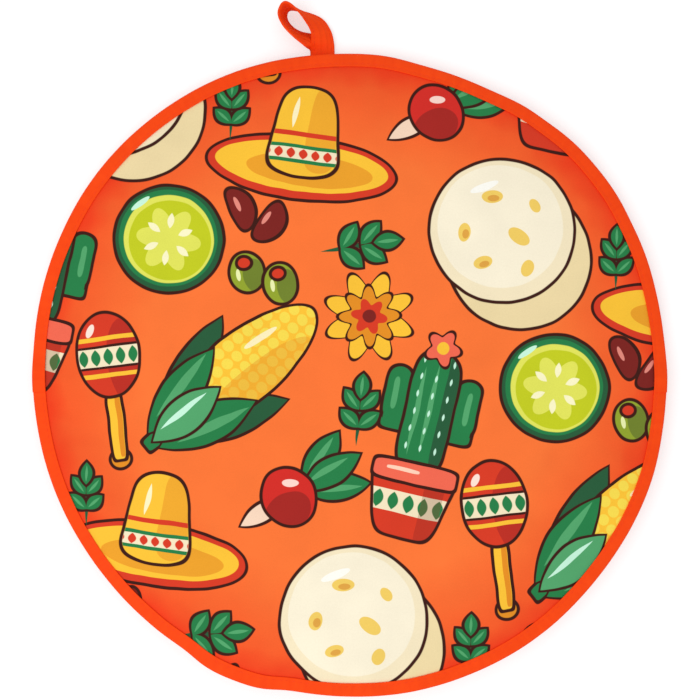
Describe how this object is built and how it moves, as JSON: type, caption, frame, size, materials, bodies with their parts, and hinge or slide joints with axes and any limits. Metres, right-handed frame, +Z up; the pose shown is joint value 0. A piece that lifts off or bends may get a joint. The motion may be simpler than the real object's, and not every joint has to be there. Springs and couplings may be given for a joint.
{
  "type": "tortilla warmer",
  "caption": "Round padded cloth pouch that keeps tortillas warm, bound with tape round its rim, with a wide mouth along one side and a hanging loop on the other.",
  "frame": {"origin": "middle of the back panel's underside, on the surface that the pouch lies on", "axes": "+Z up out of the front panel, +Y from the mouth towards the hanging loop, +X to the right seen from the front with the loop at the top"},
  "size_m": [0.305, 0.3294, 0.0197],
  "materials": {
    "printed_cloth": "matt printed microfibre cloth, food motifs on orange",
    "wadding": "needled polyester wadding",
    "lining_cotton": "plain woven natural cotton",
    "binding_tape": "smooth orange-red binding tape"
  },
  "bodies": {
    "pouch": {"back_outer_panel": "printed_cloth", "back_batting": "wadding", "back_lining": "lining_cotton", "front_outer_panel": "printed_cloth", "front_batting": "wadding", "front_lining": "lining_cotton", "seam_binding": "binding_tape", "back_lip_binding": "binding_tape", "loop_sewn_ends": "binding_tape"},
    "mouth_flap": {"flap_outer_panel": "printed_cloth", "flap_batting": "wadding", "flap_lining": "lining_cotton", "flap_lip_binding": "binding_tape"},
    "hang_loop": {"hanging_loop": "binding_tape"}
  },
  "joints": [
    {"name": "mouth_fold", "type": "hinge", "parent": "pouch", "child": "mouth_flap", "pos_m": [0, -0.01329, 0.01565], "axis": [-1, 0, 0], "range_deg": [0, 165]},
    {"name": "loop_swing", "type": "hinge", "parent": "pouch", "child": "hang_loop", "pos_m": [-0.01285, 0.1545, 0.00201], "axis": [1, 0, 0], "range_deg": [0, 60]}
  ]
}
